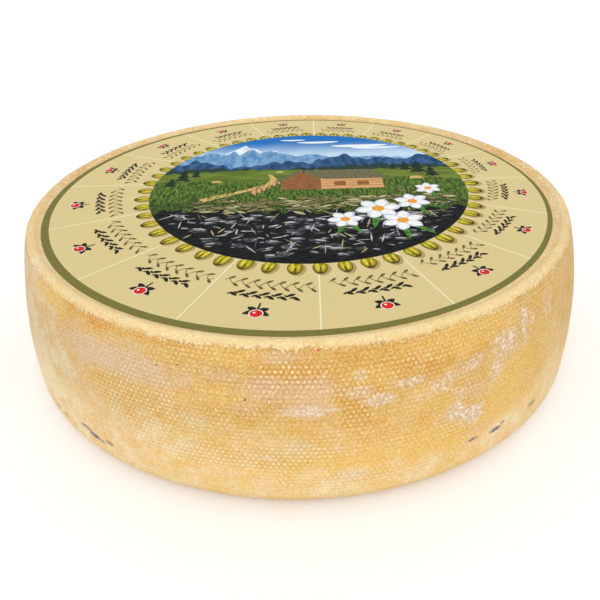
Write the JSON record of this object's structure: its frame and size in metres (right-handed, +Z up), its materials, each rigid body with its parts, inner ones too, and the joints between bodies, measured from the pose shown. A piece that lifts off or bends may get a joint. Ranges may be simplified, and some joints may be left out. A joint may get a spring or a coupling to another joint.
{
  "type": "cheese wheel",
  "caption": "Whole wheel of semi-hard alpine cheese, with a bellied cloth-marked rind, a low rounded rim and a round printed paper label on its upper face.",
  "frame": {"origin": "middle of the flat underside, on the wheel's axis", "axes": "+Z up along the wheel's axis, out of the labelled face; the label's shown front faces -Y, and +X is to the right"},
  "size_m": [0.3, 0.3, 0.085],
  "materials": {
    "rind": "dry, matt, cloth-marked washed rind in mottled cream, straw and orange",
    "label_paper": "smooth printed paper with a slight satin shine"
  },
  "bodies": {
    "root": {"wheel": "rind", "label": "label_paper"}
  },
  "joints": []
}
